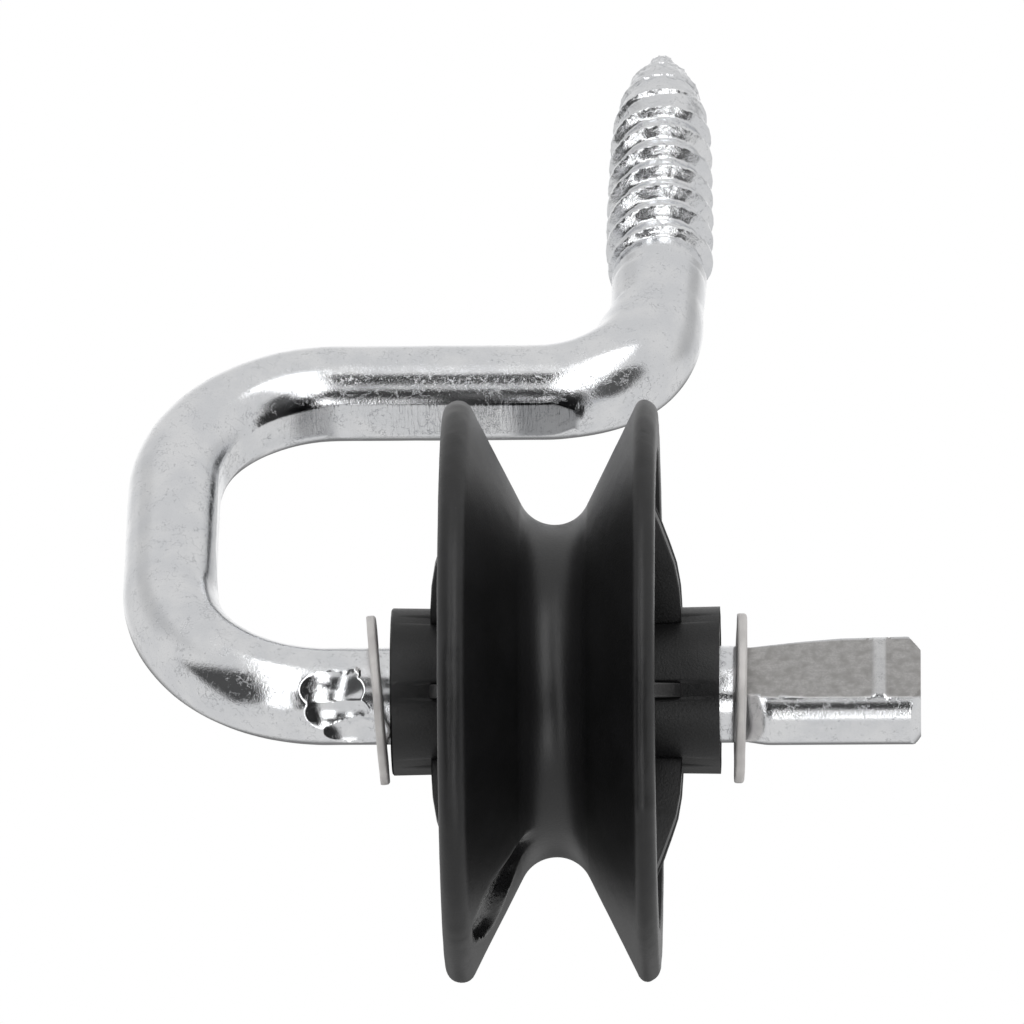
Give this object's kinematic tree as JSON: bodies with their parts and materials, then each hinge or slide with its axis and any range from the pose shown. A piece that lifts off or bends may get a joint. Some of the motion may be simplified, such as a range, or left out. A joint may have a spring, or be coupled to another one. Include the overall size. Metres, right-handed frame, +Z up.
{
  "type": "screw-in shoulder pulley hook",
  "caption": "Bent steel screw hook whose free end is the axle of a black plastic V-groove rope wheel held between two loose washers.",
  "frame": {"origin": "on the screw thread's axis, where the thread ends and the plain shank begins", "axes": "+Z up the thread into the ceiling, +X along the axle towards its free end, the bent rod in the XZ plane"},
  "size_m": [0.0662, 0.048, 0.1089],
  "materials": {
    "zinc_rod": "bright zinc plate",
    "black_plastic": "semi-matt moulded",
    "washer_steel": "dull plated"
  },
  "bodies": {
    "hook": {"hook_bolt": "zinc_rod"},
    "wheel": {"pulley_wheel": "black_plastic"},
    "washer_in": {"inner_washer": "washer_steel"},
    "washer_out": {"outer_washer": "washer_steel"}
  },
  "joints": [
    {"name": "wheel_spin", "type": "hinge", "parent": "hook", "child": "wheel", "pos_m": [-0.00785, -0.00026, -0.05428], "axis": [1, 0, 0], "continuous": true},
    {"name": "inner_washer_spin", "type": "hinge", "parent": "hook", "child": "washer_in", "pos_m": [-0.02262, 0.00026, -0.05472], "axis": [0.9964, -0.0438, 0.0727], "continuous": true},
    {"name": "outer_washer_spin", "type": "hinge", "parent": "hook", "child": "washer_out", "pos_m": [0.00725, 0.00026, -0.05472], "axis": [0.9993, 0.036, 0.006], "continuous": true}
  ]
}
